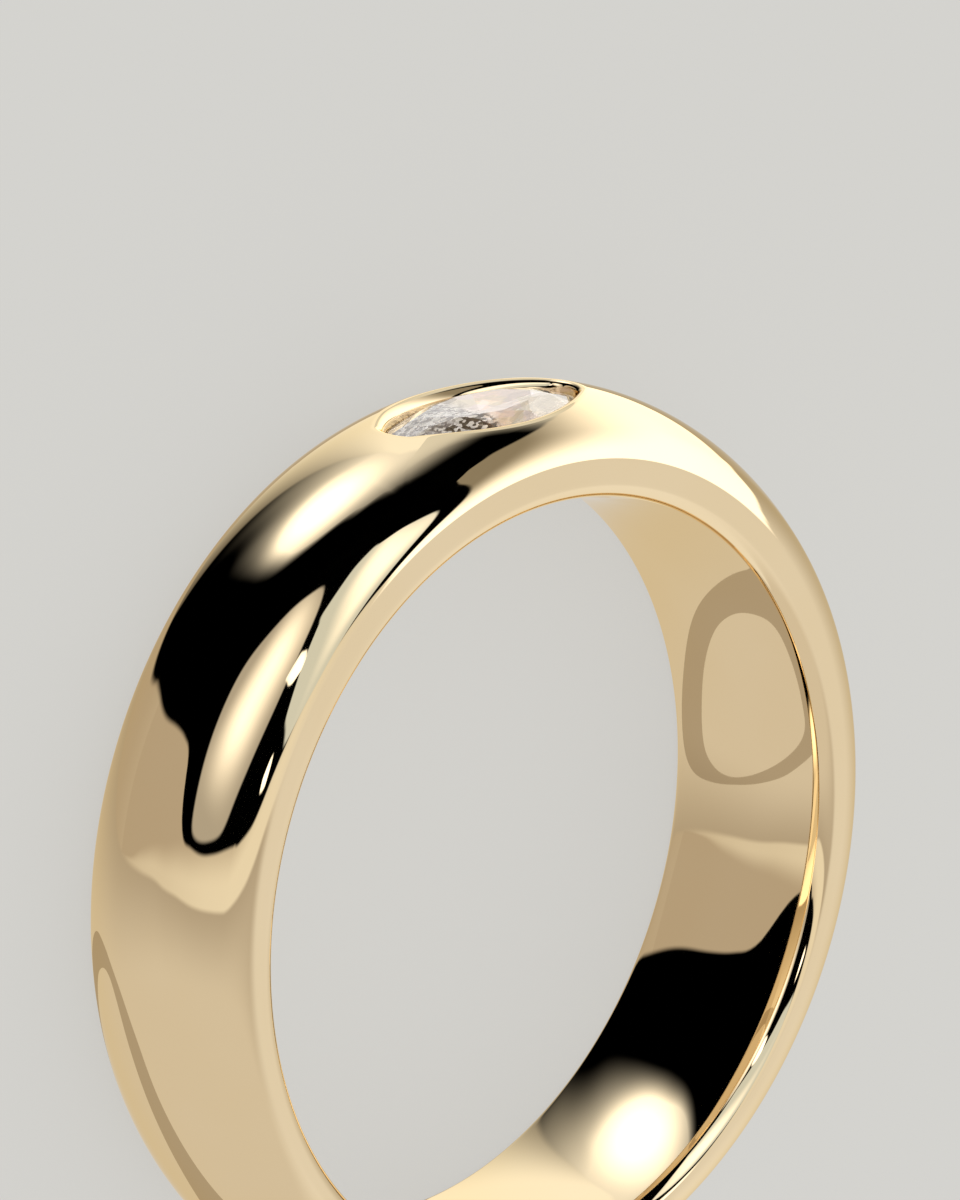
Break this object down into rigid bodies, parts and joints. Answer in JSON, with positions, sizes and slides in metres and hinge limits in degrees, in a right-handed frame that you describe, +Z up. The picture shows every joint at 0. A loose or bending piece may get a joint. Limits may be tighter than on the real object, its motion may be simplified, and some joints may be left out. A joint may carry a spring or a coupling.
{
  "type": "domed wedding ring with one flush-set diamond",
  "caption": "Domed finger ring, thicker at the crown than at the back, with one pointed oval cut stone set flush in an opening across the crown.",
  "frame": {"origin": "on the surface that the ring lies on, below the middle of its domed outside; the bore's axis is 0.26 mm further towards +Y", "axes": "+Z up along the ring's axis, from the side that it lies on to the side that faces up; -Y from the bore to the stone; +X to the right, seen from the stone's side"},
  "size_m": [0.0214, 0.0211, 0.0049],
  "materials": {
    "gold": "mirror-polished pale yellow gold",
    "diamond": "clear cut stone with polished facets"
  },
  "bodies": {
    "root": {"band": "gold", "stone": "diamond"}
  },
  "joints": []
}
